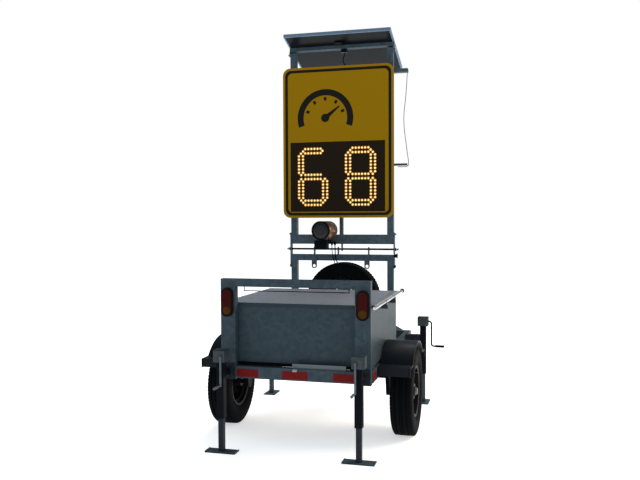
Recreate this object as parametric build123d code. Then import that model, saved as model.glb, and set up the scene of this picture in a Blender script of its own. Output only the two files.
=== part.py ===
from build123d import *
import math
import os

# Solar speed sign on a small trailer. All sizes in millimetres.
# Working frame: +X to the right and +Y forward for someone behind the trailer, +Z up,
# Y = 0 on the rear face of the frame, Z = 0 on the ground. save() then moves everything
# back by ORIGIN_Y, so that the stored origin is on the ground under the middle of the
# object's bounding box.
ORIGIN_Y = 1357

# Frame
RAIL_BOTTOM, RAIL_TOP = 462, 541
RAIL_IN, RAIL_OUT = 463, 513
STEEL = 5
FRAME_LENGTH = 1820
UPRIGHT_IN, UPRIGHT_OUT = 405, 508
UPRIGHT_BOTTOM, UPRIGHT_TOP = 454, 1121
UPRIGHT_DEPTH = 50
REST_BAR_HEIGHT = 51

# Towing end
COUPLER_FRONT = 2990
BALL_R = 25.4
BALL_Y = 2950
BALL_Z = 520

# Wheels, three alike
WHEEL_R = 308
TYRE_HALF_WIDTH = 79
BEAD_R = 165
WHEEL_X = 655
AXLE_Y = 565
AXLE_Z = WHEEL_R
SPARE_X = -15
SPARE_Y = 1502
SPARE_Z = 840

# Mudguards
FENDER_R = 350
FENDER_OUT = 735
FENDER_STEP_Z, FENDER_LOW_Z = 540, 481
FENDER_HALF_LENGTH = 375

# Equipment box and lid
BOX_HALF_WIDTH = 505
BOX_REAR, BOX_FRONT = 66, 1035
BOX_FLOOR, BOX_RIM = 560, 938
SHEET = 3
LID_TOP = 960
LID_HINGE_X, LID_HINGE_Z = 530, 948
LID_ROD_R = 6.5
LID_TUBE_R = 11

# Mast
MAST_REAR, MAST_FRONT = 1353, 1403
POST_IN, POST_OUT = 382, 432
MAST_HINGE_Y, MAST_HINGE_Z = 1378, 1264
HINGE_ROD_R = 8
LOWER_BEAM_BOTTOM, LOWER_BEAM_TOP = 1168, 1220
UPPER_BEAM_BOTTOM, UPPER_BEAM_TOP = 1306, 1384
POST_TOP = 2893
STRAP = 8
LOCK_BOLT_Z = 1125
LOCK_KNOB_Z = 1211
RUNNING = 0.05
CLEAR = 0.4

# Sign, 36 x 48 in
SIGN_WIDTH, SIGN_HEIGHT = 914.4, 1219.2
SIGN_BOTTOM = 1523.4
SIGN_Y = 1227
SIGN_CORNER = 60
WINDOW = (-396, 388)
WINDOW_Z = (1573, 2138)
CASE_FRONT, CASE_BACK = 1230, 1340
CASE_HALF_WIDTH = 405
CASE_Z = (1556, 2156)

# Radar
RADAR_R = 76
RADAR_LENGTH = 208
RADAR_YAW = 8
RADAR_PAN = (-108.5, 1232)
RADAR_Z = 1421

# Solar panel
PANEL_HALF_WIDTH = 439
PANEL_HIGH = (1190, 3012)
PANEL_LENGTH = 643
PANEL_TILT = 16.7
PANEL_DEPTH = 25
PANEL_PIVOT_Z = 2882

# Jacks
REAR_JACK_X, REAR_JACK_Y = 457, -122
REAR_CRANK_Z = 624
FRONT_JACK_X, FRONT_JACK_Y = 658, 1486
PIVOT_Z, PIVOT_R = 505, 18
REAR_GRIP_END = -276
JACK_OUTER, JACK_INNER = 49, 35
JACK_TRAVEL = 120
JACK_WALL = 6


def block(x, y, z):
    """Box between the two values of each pair."""
    size = [abs(pair[1] - pair[0]) for pair in (x, y, z)]
    middle = [(pair[0] + pair[1]) / 2 for pair in (x, y, z)]
    return Pos(*middle) * Box(*size)


def rod_x(x, y, z, radius):
    """Round bar along X between the two values of x."""
    middle = (x[0] + x[1]) / 2
    return Pos(middle, y, z) * Rot(0, 90, 0) * Cylinder(radius, abs(x[1] - x[0]))


def rod_y(x, y, z, radius):
    """Round bar along Y between the two values of y."""
    middle = (y[0] + y[1]) / 2
    return Pos(x, middle, z) * Rot(90, 0, 0) * Cylinder(radius, abs(y[1] - y[0]))


def rod_z(x, y, z, radius):
    """Round bar along Z between the two values of z."""
    middle = (z[0] + z[1]) / 2
    return Pos(x, y, middle) * Cylinder(radius, abs(z[1] - z[0]))


def grow(pair, amount):
    """The pair of limits, each moved outwards by amount."""
    return (pair[0] - amount, pair[1] + amount)


def tube(x, y, z, wall, axis):
    """Rectangular tube with open ends, running along the named axis."""
    inner = [grow(pair, 1 if name == axis else -wall) for name, pair in zip("XYZ", (x, y, z))]
    return block(x, y, z) - block(*inner)


def mirrored(shape):
    """The same shape on the left of the trailer."""
    return shape.mirror(Plane.YZ)


def both(shape):
    """The shape and its mirror image, as separate solids."""
    return [shape, mirrored(shape)]


def save(name, shapes):
    """Write one node, its solids kept apart."""
    solids = []
    for shape in shapes if isinstance(shapes, list) else [shapes]:
        solids += [solid.moved(Location((0, -ORIGIN_Y, 0))) for solid in shape.solids()]
    export_step(Compound(children=solids) if len(solids) > 1 else solids[0], f"parts/{name}.step")


def cord(points, radius):
    """Round cable along straight runs joined by arcs as large as the runs allow."""
    radii = []
    for before, here, after in zip(points, points[1:], points[2:]):
        into = Vector(*here) - Vector(*before)
        out = Vector(*after) - Vector(*here)
        half_turn = math.radians(into.get_angle(out)) / 2
        radii.append(0.45 * min(into.length, out.length) / math.tan(half_turn))
    path = FilletPolyline(*points, radius=radii)
    start = Plane(origin=path @ 0, z_dir=path % 0)
    body = sweep(start * Circle(radius), path=path)
    ratio = body.volume / (math.pi * radius**2 * path.length)
    print("cord", round(path.length), "radii", [round(r) for r in radii], "ratio", round(ratio, 4))
    return body


# ---------------------------------------------------------------- frame


def channel_x(x, y, z, opening):
    """C-channel along X whose open side faces +Y (opening 1) or -Y (opening -1)."""
    hollow_y = (y[0] + STEEL, y[1] + 1) if opening > 0 else (y[0] - 1, y[1] - STEEL)
    return block(x, y, z) - block(grow(x, 1), hollow_y, grow(z, -STEEL))


def chassis_rails():
    """Rear rail, two side rails and front rail."""
    z = (RAIL_BOTTOM, RAIL_TOP)
    rear = channel_x((-UPRIGHT_IN, UPRIGHT_IN), (0, UPRIGHT_DEPTH), z, 1)
    front = channel_x((-RAIL_IN, RAIL_IN), (FRAME_LENGTH - 50, FRAME_LENGTH), z, -1)
    y = (UPRIGHT_DEPTH, FRAME_LENGTH)
    side = block((RAIL_IN, RAIL_OUT), y, z)
    side -= block((RAIL_IN - 1, RAIL_OUT - STEEL), grow(y, 1), grow(z, -STEEL))
    return [rear, front] + both(side)


def cross_members():
    """Mast base beam and the two bars that the equipment box stands on."""
    base = tube((-RAIL_IN, RAIL_IN), (MAST_REAR, MAST_FRONT), (RAIL_BOTTOM, RAIL_TOP), STEEL, "X")
    bars = [block((-RAIL_OUT, RAIL_OUT), (y, y + 40), (RAIL_TOP, BOX_FLOOR)) for y in (68, 480, 900)]
    return [base] + bars


def goal_post():
    """Two wide uprights and the bar that the lowered mast lies over."""
    y = (0, UPRIGHT_DEPTH)
    upright = tube((UPRIGHT_IN, UPRIGHT_OUT), y, (UPRIGHT_BOTTOM, UPRIGHT_TOP), STEEL, "Z")
    cap = block((UPRIGHT_IN, UPRIGHT_OUT), y, (UPRIGHT_TOP - STEEL, UPRIGHT_TOP))
    bar_z = (UPRIGHT_TOP - REST_BAR_HEIGHT, UPRIGHT_TOP)
    bar = tube((-UPRIGHT_IN, UPRIGHT_IN), y, bar_z, STEEL, "X")
    return both(upright + cap) + [bar]


def tongue_member():
    """Right side of the A-frame: a tube from the front rail to the nose."""
    start = Vector(RAIL_IN - 40, FRAME_LENGTH, 0)
    end = Vector(30, BALL_Y - 190, 0)
    run = end - start
    angle = math.degrees(math.atan2(run.Y, run.X))
    length = run.length + 60
    long_tube = Box(length, 50, 76) - Box(length + 2, 50 - 2 * STEEL, 76 - 2 * STEEL)
    middle = start + run * 0.5
    member = Pos(middle.X, middle.Y, RAIL_BOTTOM + 38) * Rot(0, 0, angle) * long_tube
    keep = block((4, RAIL_OUT), (FRAME_LENGTH, BALL_Y - 150), (RAIL_BOTTOM - 1, RAIL_TOP + 1))
    return member & keep


def tongue():
    """A-frame and the nose plate that carries the coupler."""
    nose = block((-70, 70), (BALL_Y - 260, BALL_Y - 90), (RAIL_BOTTOM + 76, RAIL_BOTTOM + 84))
    return both(tongue_member()) + [nose]


def coupler():
    """Ball coupler: a shell with the ball socket under its nose."""
    base_z = RAIL_BOTTOM + 84
    neck = block((-32, 32), (BALL_Y - 250, BALL_Y), (base_z, base_z + 46))
    nose = rod_z(0, BALL_Y, (BALL_Z - 22, base_z + 46), COUPLER_FRONT - BALL_Y)
    socket = Pos(0, BALL_Y, BALL_Z) * Sphere(BALL_R + 0.8)
    mouth = rod_z(0, BALL_Y, (BALL_Z - 40, BALL_Z), BALL_R + 0.8)
    slot = block((-9, 9), (BALL_Y - 150, BALL_Y - 60), (base_z + 30, base_z + 60))
    return neck + nose - socket - mouth - slot


def coupler_latch():
    """Lever that locks the coupler, turning on its own cross pin."""
    z = RAIL_BOTTOM + 84 + 40
    lever = block((-8, 8), (BALL_Y - 235, BALL_Y - 70), (z + 8, z + 16))
    heel = block((-8, 8), (BALL_Y - 100, BALL_Y - 70), (z - 2, z + 8))
    grip = rod_x((-20, 20), BALL_Y - 235, z + 12, 5)
    return lever + heel + grip


# ---------------------------------------------------------------- running gear


def wheel_profile(points_out, points_in):
    """Closed ring section from an outer and an inner row of arc points."""
    lines = []
    for row in (points_out, points_in):
        for a, b, c in zip(row[0::2], row[1::2], row[2::2]):
            lines.append(ThreePointArc(a, b, c))
    lines.append(Line(points_out[0], points_in[0]))
    lines.append(Line(points_out[-1], points_in[-1]))
    return make_face(Wire(lines))


def tyre():
    """Tyre about the X axis, its middle plane at X = 0."""
    r, wall = WHEEL_R, -TYRE_HALF_WIDTH
    side = [(-60, BEAD_R), (-60.5, BEAD_R + 7), (-60, BEAD_R + 14), (wall, 240)]
    side += [(wall + 7, r - 14), (wall + 12, r - 5), (wall + 21, r - 1.5)]
    outer = side + [(0, r)] + [(-x, z) for x, z in reversed(side)]
    inner_side = [(-50, BEAD_R), (-50.4, BEAD_R + 10), (-52, BEAD_R + 20)]
    inner_side += [(wall + 7, 240), (-62, r - 18)]
    inner = inner_side + [(0, r - 12)] + [(-x, z) for x, z in reversed(inner_side)]
    return revolve(wheel_profile(outer, inner), Axis.X, 360)


def rim():
    """Pressed steel rim: barrel with flanges, and a dished disc with holes."""
    seat = BEAD_R - 0.4
    lip = BEAD_R + 13
    outside = [(-66, lip), (-61, lip), (-61, seat), (-40, seat), (-34, 145), (6, 145), (14, seat)]
    outside += [(61, seat), (61, lip), (66, lip)]
    inside = [(66, lip - 5), (64, seat - 4), (16, seat - 4), (9, 141), (-37, 141), (-43, seat - 4)]
    inside += [(-64, seat - 4), (-66, lip - 5)]
    barrel = revolve(make_face(Polyline(*outside, *inside, close=True)), Axis.X, 360)
    disc = rod_x((12, 17), 0, 0, seat - 3) - rod_x((0, 30), 0, 0, 32)
    dish = Cone(110, 60, 22) - Cone(104, 54, 22)
    disc += Pos(25, 0, 0) * Rot(0, 90, 0) * dish
    disc -= rod_x((0, 20), 0, 0, 100)
    disc += rod_x((31, 36), 0, 0, 62) - rod_x((30, 40), 0, 0, 32)
    for turn in range(8):
        angle = math.radians(45 * turn)
        disc -= rod_x((0, 30), 132 * math.sin(angle), 132 * math.cos(angle), 14)
    return barrel + disc


def hub():
    """Hub with its flange and grease cap, and the five wheel nuts."""
    flange = rod_x((20, 30.8), 0, 0, 52)
    barrel = rod_x((-75, 20), 0, 0, 34) + rod_x((30.8, 62), 0, 0, 28)
    bore = rod_x((-76, 30), 0, 0, 16 + RUNNING)
    nuts = []
    for turn in range(5):
        angle = math.radians(72 * turn)
        nuts.append(rod_x((36, 50), 46 * math.sin(angle), 46 * math.cos(angle), 9))
    return [flange + barrel - bore] + nuts


def road_wheel(side):
    """Tyre, rim with hub and nuts, placed on the right (1) or left (-1)."""
    place = Pos(WHEEL_X, AXLE_Y, AXLE_Z)
    parts = [[place * tyre()], [place * rim()] + [place * piece for piece in hub()]]
    if side < 0:
        parts = [[mirrored(piece) for piece in group] for group in parts]
    return parts


def spare_wheel():
    """Tyre and rim standing upright in front of the mast, outer face forward."""
    place = Pos(SPARE_X, SPARE_Y, SPARE_Z) * Rot(0, 0, 90)
    return place * tyre(), place * rim()


def spare_carrier():
    """Bar across the lower posts with a stub, a flange and three studs for the spare."""
    bar = block((-POST_IN, POST_IN), (1361, 1395), (SPARE_Z - 25, SPARE_Z + 25))
    stub = rod_y(SPARE_X, (1395, SPARE_Y + 22), SPARE_Z, 30)
    flange = rod_y(SPARE_X, (SPARE_Y + 22, SPARE_Y + 30.8), SPARE_Z, 52)
    whole = bar + stub + flange
    for turn in range(3):
        angle = math.radians(120 * turn)
        x, z = SPARE_X + 46 * math.sin(angle), SPARE_Z + 46 * math.cos(angle)
        whole += rod_y(x, (SPARE_Y + 36.2, SPARE_Y + 50), z, 11)
    return whole


def torsion_axle():
    """Rubber torsion half axle: square housing under the rail, arm and spindle."""
    housing = block((260, RAIL_OUT), (495, 555), (RAIL_BOTTOM - 60, RAIL_BOTTOM))
    arm_x = (RAIL_OUT, RAIL_OUT + 25)
    low, high = (AXLE_Y, AXLE_Z), (525, RAIL_BOTTOM - 30)
    arm = rod_x(arm_x, *low, 40) + rod_x(arm_x, *high, 30)
    outline = make_face(Polyline((low[0] - 40, low[1]), (high[0] - 30, high[1]),
                                 (high[0] + 30, high[1]), (low[0] + 40, low[1]), close=True))
    arm += extrude(Plane.YZ.offset(arm_x[0]) * outline, STEEL * 5)
    spindle = rod_x((arm_x[1], WHEEL_X + 18), *low, 16)
    return housing + arm + spindle


def fender_outline(inset):
    """Closed outline of the arch in the Y-Z plane, each edge moved in by inset."""
    radius, step_z = FENDER_R - inset, FENDER_STEP_Z - inset
    foot = math.sqrt(radius**2 - (step_z - AXLE_Z) ** 2)
    end = FENDER_HALF_LENGTH - inset
    front = [(foot, step_z), (end, step_z), (end, FENDER_LOW_Z)]
    rear = [(-y, z) for y, z in reversed(front)]
    steps = Polyline(*[(AXLE_Y + y, z) for y, z in front + rear])
    arch = ThreePointArc((AXLE_Y - foot, step_z), (AXLE_Y, AXLE_Z + radius), (AXLE_Y + foot, step_z))
    return make_face(Wire(steps.edges() + [arch]))


def fender():
    """Arched mudguard with a flat step at each end and a web against the rail."""
    inner, outer = RAIL_OUT, FENDER_OUT
    shell = extrude(Plane.YZ.offset(inner) * fender_outline(0), outer - inner)
    shell -= extrude(Plane.YZ.offset(inner + SHEET) * fender_outline(SHEET), outer - inner)
    opening = rod_x((inner - 1, inner + SHEET + 1), AXLE_Y, AXLE_Z, WHEEL_R + 25)
    ends = (AXLE_Y - FENDER_HALF_LENGTH - 1, AXLE_Y + FENDER_HALF_LENGTH + 1)
    below = block((inner - 1, inner + SHEET), ends, (FENDER_LOW_Z - 1, FENDER_LOW_Z + SHEET))
    return shell - opening - below


# ---------------------------------------------------------------- equipment box


def box_shell():
    """Open-topped sheet box with a turned-in rim and three hinge ears."""
    x, y = (-BOX_HALF_WIDTH, BOX_HALF_WIDTH), (BOX_REAR, BOX_FRONT)
    shell = block(x, y, (BOX_FLOOR, BOX_RIM))
    shell -= block(grow(x, -SHEET), grow(y, -SHEET), (BOX_FLOOR + SHEET, BOX_RIM - SHEET))
    shell -= block(grow(x, -25), grow(y, -25), (BOX_RIM - SHEET - 1, BOX_RIM + 1))
    for y_ear in (400, 750):
        ear = block((BOX_HALF_WIDTH, 548), (y_ear + 2, y_ear + 8), (900, 924))
        ear += block((518, 542), (y_ear + 2, y_ear + 8), (920, LID_HINGE_Z))
        ear += rod_y(LID_HINGE_X, (y_ear + 2, y_ear + 8), LID_HINGE_Z, 12)
        ear -= rod_y(LID_HINGE_X, (y_ear, y_ear + 10), LID_HINGE_Z, LID_ROD_R + RUNNING)
        shell += ear
    return shell


def lid_seal():
    """Rubber strip on the box rim that the lid closes on."""
    outer = block(grow((-BOX_HALF_WIDTH, BOX_HALF_WIDTH), -10), (BOX_REAR + 10, BOX_FRONT - 10),
                  (BOX_RIM, LID_TOP - SHEET - CLEAR))
    inner = block(grow((-BOX_HALF_WIDTH, BOX_HALF_WIDTH), -19), (BOX_REAR + 19, BOX_FRONT - 19),
                  (BOX_RIM - 1, LID_TOP))
    return outer - inner


def box_lid():
    """Flat lid with turned-down edges, the hinge side's edge cut short."""
    x = (-BOX_HALF_WIDTH - 11, LID_HINGE_X - 15)
    y = (54, BOX_FRONT + 12)
    low = 934
    lid = block(x, y, (low, LID_TOP))
    lid -= block(grow(x, -SHEET), grow(y, -SHEET), (low - 1, LID_TOP - SHEET))
    lid -= block((BOX_HALF_WIDTH, x[1] + 1), grow(y, 1), (low - 1, 940))
    return lid


def lid_hinge_tube():
    """Three lengths of hinge tube with leaves welded along the lid's edge."""
    parts = []
    for y in ((15, 400), (410, 750), (760, 1165)):
        leaf_y = (max(y[0], BOX_REAR), min(y[1], BOX_FRONT))
        leaf = block((LID_HINGE_X - 40, LID_HINGE_X), leaf_y, (LID_TOP, LID_TOP + SHEET))
        length = rod_y(LID_HINGE_X, y, LID_HINGE_Z, LID_TUBE_R) + leaf
        parts.append(length - rod_y(LID_HINGE_X, grow(y, 1), LID_HINGE_Z, LID_ROD_R + RUNNING))
    return parts


def lid_hinge_rod():
    """Rod through the hinge tube, with a plug at the rear and a ball at the front."""
    rod = rod_y(LID_HINGE_X, (9, 1175), LID_HINGE_Z, LID_ROD_R)
    plug = rod_y(LID_HINGE_X, (7, 14), LID_HINGE_Z, LID_TUBE_R - 1)
    ball = Pos(LID_HINGE_X, 1182, LID_HINGE_Z) * Sphere(14)
    return rod + plug + ball


def batteries():
    """Four sealed batteries standing on the box floor, each with its terminals."""
    parts = []
    for x in (-330, -110, 110, 330):
        case = block((x - 86, x + 86), (640, 970), (BOX_FLOOR + SHEET, BOX_FLOOR + SHEET + 215))
        for y in (690, 920):
            case += rod_z(x - 55, y, (BOX_FLOOR + SHEET + 215, BOX_FLOOR + SHEET + 230), 9)
        parts.append(case)
    return parts


def controllers():
    """Charge controller and sign controller on the inside of the rear wall."""
    wall = BOX_REAR + SHEET
    charge = block((-330, -140), (wall, wall + 70), (680, 820))
    sign = block((60, 340), (wall, wall + 90), (660, 840))
    return [charge, sign]


# ---------------------------------------------------------------- rear lights


def oval(x, y, z, width, depth, side):
    """Upright slot-shaped block whose rear face is at y and front face at y + depth."""
    outline = SlotCenterToCenter(z[1] - z[0] - width, width, rotation=90)
    face = Plane(origin=(x, y, (z[0] + z[1]) / 2), z_dir=(0, 1, 0), x_dir=(1, 0, 0)) * outline
    shape = extrude(face, depth)
    return mirrored(shape) if side < 0 else shape


def lamp_parts(kind):
    """Housings, red lenses or round amber lenses of the two tail lights."""
    x, z = 459, (870, 1061)
    parts = []
    for side in (1, -1):
        amber = rod_y(side * x, (-23, -11), 912, 26)
        if kind == "housing":
            recess = oval(x, -21, (z[0] + 9, z[1] - 9), 64, 12, side)
            parts.append(oval(x, -20, z, 82, 20, side) - recess)
        if kind == "red":
            lens = oval(x, -22, (z[0] + 10, z[1] - 10), 62, 13, side)
            parts.append(lens - rod_y(side * x, (-30, 0), 912, 26.3))
        if kind == "amber":
            parts.append(amber)
    return parts


def plate_bracket():
    """Blank number-plate bracket standing on the rear rail."""
    upright = block((-16, 344), (12, 15), (RAIL_TOP, 571))
    foot = block((-16, 344), (15, 40), (RAIL_TOP, RAIL_TOP + SHEET))
    return upright + foot


def licence_lamp():
    """Small lamp hooded over the plate position."""
    return block((-8, 22), (-14, 0), (523, 539)) + rod_x((-4, 18), -14, 531, 6)


def reflectors():
    """Strips of reflector on the rear rail and at each end of the side rails."""
    strips = [block(x, (-2, 0), (472, 523)) for x in ((-396, -248), (-80, 92), (262, 403))]
    for y in ((56, 156), (1640, 1740)):
        strips += both(block((RAIL_OUT, RAIL_OUT + 2), y, (475, 528)))
    return strips


def light_harness():
    """Lamp loom under the rest bar, turning up into it at both ends."""
    z = UPRIGHT_TOP - REST_BAR_HEIGHT - 27
    loom = rod_x((-349, 368), 14, z, 3)
    for x in (-346, 365):
        loom += rod_z(x, 14, (z, UPRIGHT_TOP - REST_BAR_HEIGHT), 3)
    return loom


# ---------------------------------------------------------------- mast


def knuckle(x, z, reach):
    """Upright hinge plate round the rod, from the rod to the beam at z, reach past the rod."""
    y = (MAST_HINGE_Y - 18, MAST_HINGE_Y + 18)
    plate = block((x - 4, x + 4), y, sorted((MAST_HINGE_Z, z)))
    plate += rod_x((x - 4, x + 4), MAST_HINGE_Y, MAST_HINGE_Z, reach)
    return plate - rod_x((x - 5, x + 5), MAST_HINGE_Y, MAST_HINGE_Z, HINGE_ROD_R + RUNNING)


def lug(x):
    """Plate with a round foot and a 25 mm hole, welded to the rear of the lower beam."""
    plate = block((x - 22, x + 22), (MAST_REAR - 8, MAST_REAR), (LOCK_BOLT_Z, LOWER_BEAM_TOP))
    plate += rod_y(x, (MAST_REAR - 8, MAST_REAR), LOCK_BOLT_Z, 22)
    return plate - rod_y(x, (MAST_REAR - 9, MAST_REAR + 1), LOCK_BOLT_Z, 12.5)


def lower_mast():
    """Fixed posts, the lower beam, its hinge plates and two lugs."""
    y = (MAST_REAR, MAST_FRONT)
    bolt_hole = rod_x((POST_OUT - 6, POST_OUT + 1), MAST_HINGE_Y, LOCK_BOLT_Z, 6)
    knob_hole = rod_x((POST_OUT - 6, POST_OUT + 1), MAST_HINGE_Y, LOCK_KNOB_Z, 6 + RUNNING)
    posts = both(tube((POST_IN, POST_OUT), y, (RAIL_TOP, LOWER_BEAM_BOTTOM), 4, "Z") - bolt_hole)
    beam = tube((-POST_OUT, POST_OUT), y, (LOWER_BEAM_BOTTOM, LOWER_BEAM_TOP), 4, "X") - knob_hole
    plates = [knuckle(x, LOWER_BEAM_TOP, 18) for x in (-235, -31, 225)]
    lugs = [lug(x) for x in (-231, 216)]
    return posts + [beam] + plates + lugs


def mast_hinge_rod():
    """Rod that the upper mast turns on, with a collar at each end."""
    rod = rod_x((-472, 472), MAST_HINGE_Y, MAST_HINGE_Z, HINGE_ROD_R)
    for side in (1, -1):
        rod += rod_x((side * 446, side * 454), MAST_HINGE_Y, MAST_HINGE_Z, 13)
    return rod


def lock_shank(x, z, head_r, head):
    """Screw into a lower post with a head that holds the strap, for x > 0."""
    strap_out = POST_OUT + 1 + STRAP
    screw = rod_x((POST_OUT - 4, strap_out + CLEAR), MAST_HINGE_Y, z, 6)
    return screw + rod_x((strap_out + CLEAR, strap_out + CLEAR + head), MAST_HINGE_Y, z, head_r)


def mast_lock_bolts():
    """Two bolts that lock the side straps to the lower posts."""
    return both(lock_shank(POST_OUT, LOCK_BOLT_Z, 11, 8))


def mast_lock_knob():
    """Hand knob that clamps the right-hand strap."""
    knob = lock_shank(POST_OUT, LOCK_KNOB_Z, 14, 22)
    for turn in range(5):
        angle = math.radians(72 * turn)
        y, z = MAST_HINGE_Y + 15 * math.cos(angle), LOCK_KNOB_Z + 15 * math.sin(angle)
        knob += rod_x((POST_OUT + 22, POST_OUT + 31), y, z, 6)
    return knob


def side_strap(knob_slot):
    """Flat strap on the outside of a post: bolted above, open-slotted for the lock below."""
    x = (POST_OUT + 1, POST_OUT + 1 + STRAP)
    strap = block(x, (MAST_REAR, MAST_FRONT), (1110, 1400))
    strap -= rod_x(grow(x, 1), MAST_HINGE_Y, MAST_HINGE_Z, HINGE_ROD_R + RUNNING)
    slots = [(LOCK_BOLT_Z, 10), (LOCK_KNOB_Z, 18)] if knob_slot else [(LOCK_BOLT_Z, 10)]
    for z, rise in slots:
        strap -= rod_x(grow(x, 1), MAST_HINGE_Y, z, 8)
        strap -= block(grow(x, 1), (MAST_REAR - 1, MAST_HINGE_Y), (z - 8, z + rise))
    strap += rod_x((POST_OUT, x[1] + 8), MAST_HINGE_Y, 1388, 9)
    return strap


def side_straps():
    """The two straps; the left one has no slot for the knob."""
    return [side_strap(True), mirrored(side_strap(False))]


def upper_mast():
    """Folding posts, cross beam, centre post and the middle hinge plate."""
    y = (MAST_REAR, MAST_FRONT)
    post = tube((POST_IN, POST_OUT), y, (UPPER_BEAM_BOTTOM, POST_TOP), 4, "Z")
    beam = tube((-POST_IN, POST_IN), y, (UPPER_BEAM_BOTTOM, UPPER_BEAM_TOP), 4, "X")
    post += rod_x((POST_OUT, POST_OUT + 18), MAST_HINGE_Y, PANEL_PIVOT_Z, 6)
    post += rod_x((POST_OUT + 7.5, POST_OUT + 15), MAST_HINGE_Y, PANEL_PIVOT_Z, 10)
    centre = tube((-15, 13), (MAST_REAR, MAST_REAR + 30), (UPPER_BEAM_TOP, 2740), 3, "Z")
    return both(post) + [beam, centre, knuckle(1, UPPER_BEAM_BOTTOM, 18)]


# ---------------------------------------------------------------- sign


def sign_panel():
    """Aluminium sheet with round corners and the opening for the display."""
    middle_z = SIGN_BOTTOM + SIGN_HEIGHT / 2
    plane = Plane(origin=(0, SIGN_Y, middle_z), z_dir=(0, 1, 0), x_dir=(1, 0, 0))
    sheet = extrude(plane * RectangleRounded(SIGN_WIDTH, SIGN_HEIGHT, SIGN_CORNER), SHEET)
    return sheet - block(WINDOW, (SIGN_Y - 1, SIGN_Y + SHEET + 1), WINDOW_Z)


def display_case():
    """Sheet case behind the display opening, open to the front."""
    x, y, z = (-CASE_HALF_WIDTH, CASE_HALF_WIDTH), (CASE_FRONT, CASE_BACK), CASE_Z
    return block(x, y, z) - block(grow(x, -2), (y[0] - 1, y[1] - 2), grow(z, -2))


def display_window():
    """Smoked sheet that closes the display opening from behind."""
    return block(grow(WINDOW, 4), (CASE_FRONT + 0.2, CASE_FRONT + 4.2), grow(WINDOW_Z, 4))


def led_boards():
    """One circuit board behind each digit position."""
    boards = []
    for x in ((-345, -45), (45, 345)):
        boards.append(block(x, (CASE_FRONT + 14, CASE_FRONT + 17), (1600, 2112)))
    for x in (-300, 300):
        boards.append(block((x - 10, x + 10), (CASE_FRONT + 17, CASE_BACK - 2), (1846, 1866)))
    return boards


def sign_rails():
    """Rails that carry the sign on the posts; two of them reach out to the right as arms."""
    y = (1300, MAST_REAR)
    top_arm = tube((-POST_OUT, 556), y, (2680, 2709), 3, "X")
    brace = block((-POST_OUT, POST_OUT), (SIGN_Y + SHEET, 1300), (2684, 2705))
    low_y = (CASE_BACK, MAST_REAR)
    low_arm = block((-POST_OUT, 548), low_y, (1940, 1958))
    foot = block((-POST_OUT, POST_OUT), low_y, (1600, 1630))
    return [top_arm, brace, low_arm, foot]


def arm_cable():
    """Thin cable from the end of the top arm down to and under the lower arm."""
    x = 551
    points = [(x, 1326, 2679), (x - 4, 1326, 2600), (x - 14, 1328, 2470), (x - 30, 1332, 2350)]
    points += [(x - 28, 1336, 2240), (x - 15, 1340, 2140), (x - 3, 1343, 2040)]
    points += [(x + 7.6, 1346.5, 1972), (x + 7, 1346.5, 1935)]
    points += [(x - 30, 1346.5, 1930), (x - 80, 1346.5, 1931.5)]
    return cord(points, 3)


# ---------------------------------------------------------------- radar


def radar_bracket():
    """Black stand bolted to the rear face of the upper beam."""
    x = (-188, -86)
    stand = block(x, (1190, 1276), (1264, 1340))
    stand += block(x, (1276, MAST_REAR), (UPPER_BEAM_BOTTOM + 2, 1340))
    stand -= block(grow(x, -8), (1198, 1268), (1263, 1330))
    return stand - rod_z(*RADAR_PAN, (1320, 1341), 6 + RUNNING)


def radar_head():
    """Round radar sensor with a bezel, lens and connector, on a short turntable."""
    body = Cylinder(RADAR_R - 1, RADAR_LENGTH - 22)
    ring = Cylinder(RADAR_R, 22) - Pos(0, 0, 4) * Cylinder(RADAR_R - 8, 15)
    bezel = Pos(0, 0, RADAR_LENGTH / 2 - 11) * ring
    back = Pos(0, 0, -RADAR_LENGTH / 2 + 5) * Cylinder(RADAR_R - 6, 10)
    lens = Pos(0, 0, RADAR_LENGTH / 2 - 16) * Cylinder(RADAR_R - 10, 6)
    facing = Pos(*RADAR_PAN, RADAR_Z) * Rot(0, 0, -RADAR_YAW) * Rot(90, 0, 0)
    head = facing * (body + bezel + back + lens)
    turntable = rod_z(*RADAR_PAN, (1340 + CLEAR, RADAR_Z - 60), 30)
    turntable += rod_z(*RADAR_PAN, (1324, 1340 + CLEAR), 6)
    return head + turntable


def radar_connectors():
    """Two round connectors under the upper beam that the leads leave from."""
    return [rod_z(x, 1343, (1296, 1325), 8.5) + block((x - 9, x + 9), (1343, MAST_REAR), (1308, 1325))
            for x in (-78, -52)]


def radar_leads():
    """Power and data leads from the radar's connectors to the front of the box."""
    thin = [(-78, 1343, 1295), (-78, 1345, 1262), (-74, 1341, 1222), (-62, 1340, 1176)]
    thin += [(-46, 1336, 1130), (-36, 1318, 1072), (-30, 1270, 1010), (-30, 1200, 960)]
    thin += [(-30, 1120, 914), (-30, BOX_FRONT + 18, 891)]
    thick = [(-52, 1343, 1295), (-51, 1345, 1262), (-49, 1340, 1222), (-42, 1339, 1176)]
    thick += [(-20, 1334, 1132), (0, 1314, 1076), (10, 1266, 1014), (12, 1196, 962)]
    thick += [(12, 1120, 912), (12, BOX_FRONT + 18, 889)]
    return [cord(thin, 3.5), cord(thick, 4.5)]


def lead_glands():
    """Glands in the front wall of the box where the radar leads go in."""
    y = (BOX_FRONT, BOX_FRONT + 17)
    return [rod_y(-30, y, 891, 10), rod_y(12, y, 889, 11)]


# ---------------------------------------------------------------- solar panel


def panel_place():
    """Location whose X-Y plane is the panel's upper face, Y down the slope from its high edge."""
    return Pos(0, *PANEL_HIGH) * Rot(-PANEL_TILT, 0, 0)


def panel_block(x, y, z):
    """Block set in the panel's own tilted frame."""
    return panel_place() * block(x, y, z)


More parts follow.
